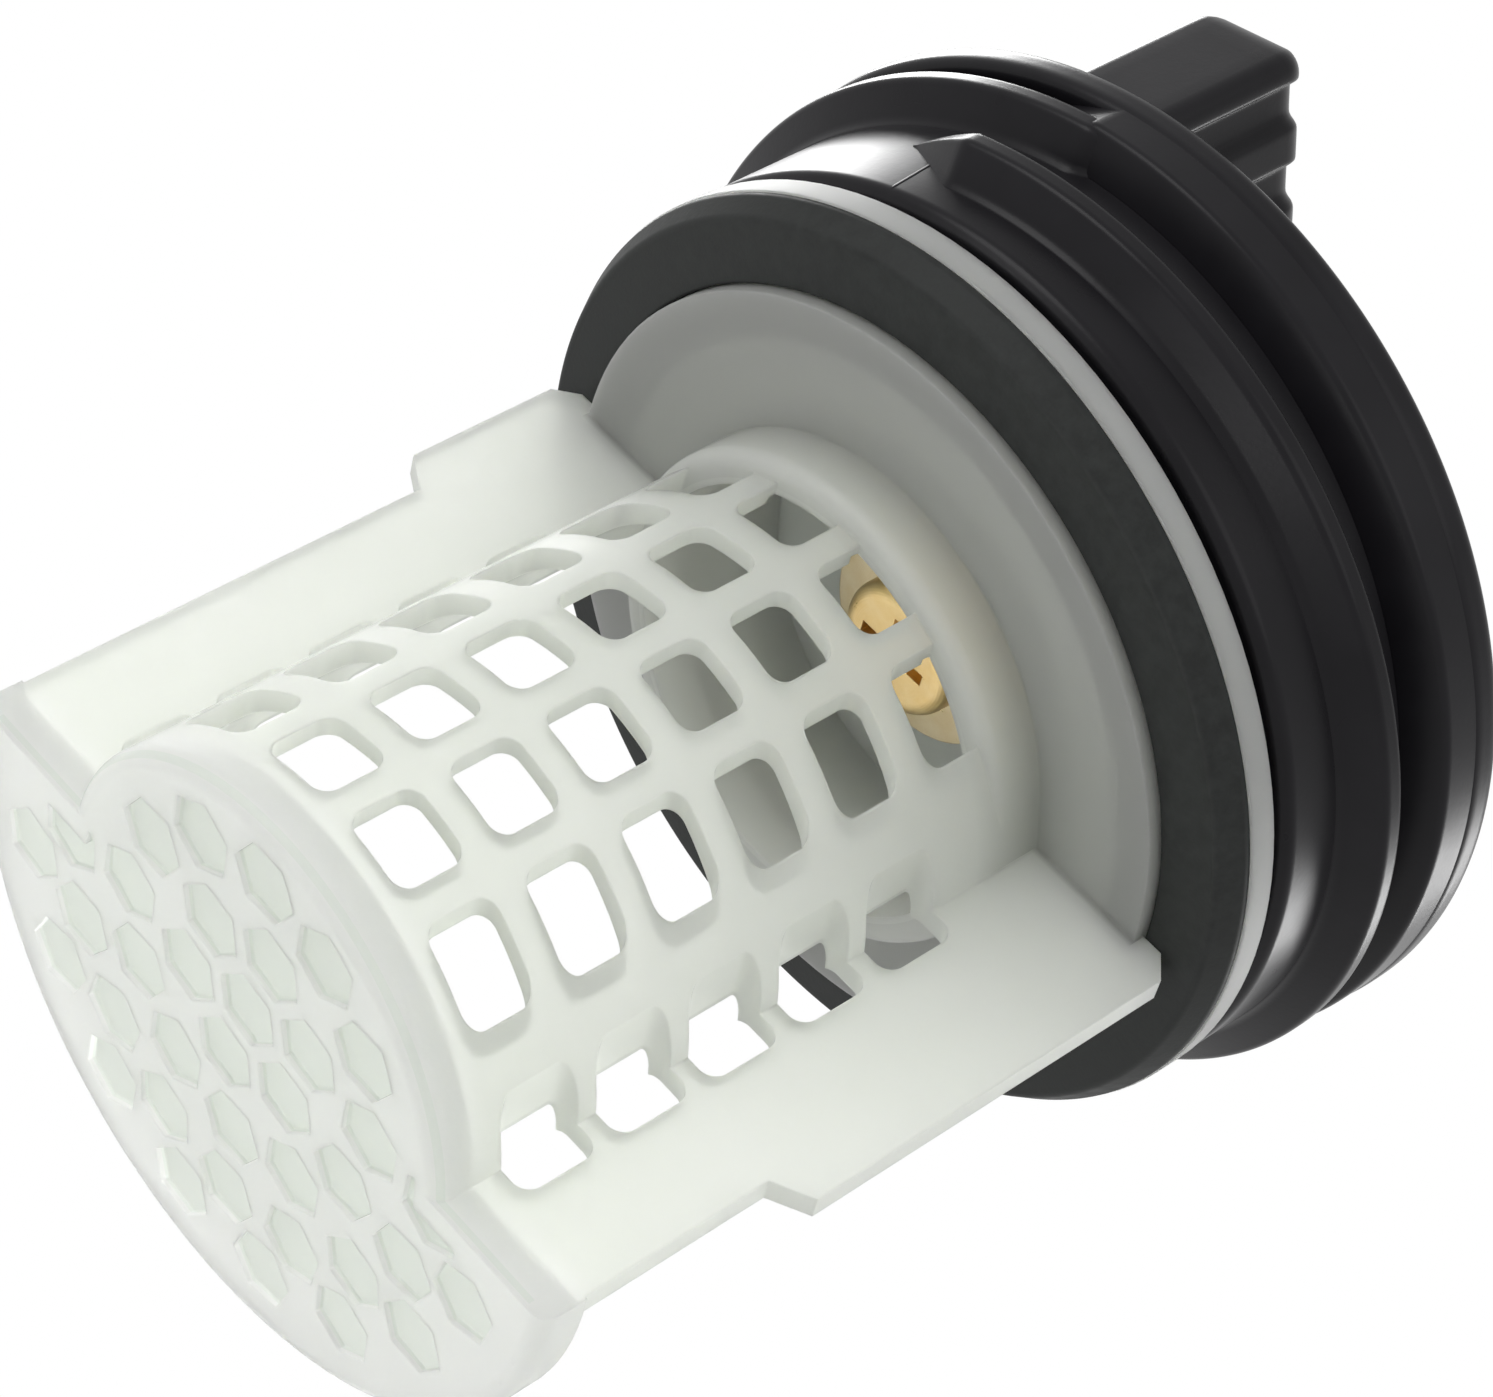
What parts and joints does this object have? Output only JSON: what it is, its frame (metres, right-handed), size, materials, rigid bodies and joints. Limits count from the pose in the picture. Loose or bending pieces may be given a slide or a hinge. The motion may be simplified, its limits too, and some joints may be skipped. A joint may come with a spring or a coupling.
{
  "type": "washing machine drain pump filter",
  "caption": "Drain pump filter for a washing machine: a windowed half-round strainer basket with an end plate, on a threaded cap with a wing grip and a lip seal.",
  "frame": {"origin": "on the filter's axis, in the outer face of the end plate that it stands on", "axes": "+Z along the axis from the end plate to the wing grip, -Y towards the middle of the mesh arch, +X towards the fin with the long tab"},
  "size_m": [0.0636, 0.0636, 0.0787],
  "materials": {
    "cap_plastic": "satin, slightly glossy",
    "basket_plastic": "translucent natural polypropylene",
    "seal_rubber": "matte",
    "screw_metal": "yellow zinc plated",
    "washer_metal": "yellow zinc plated"
  },
  "bodies": {
    "basket": {"strainer_basket": "basket_plastic", "lip_seal": "seal_rubber"},
    "cap": {"threaded_cap": "cap_plastic", "pivot_screw": "screw_metal", "screw_washer": "washer_metal"}
  },
  "joints": [
    {"name": "cap_turn", "type": "hinge", "parent": "basket", "child": "cap", "pos_m": [0, 0, 0.0525], "axis": [0, 0, 1], "continuous": true}
  ]
}
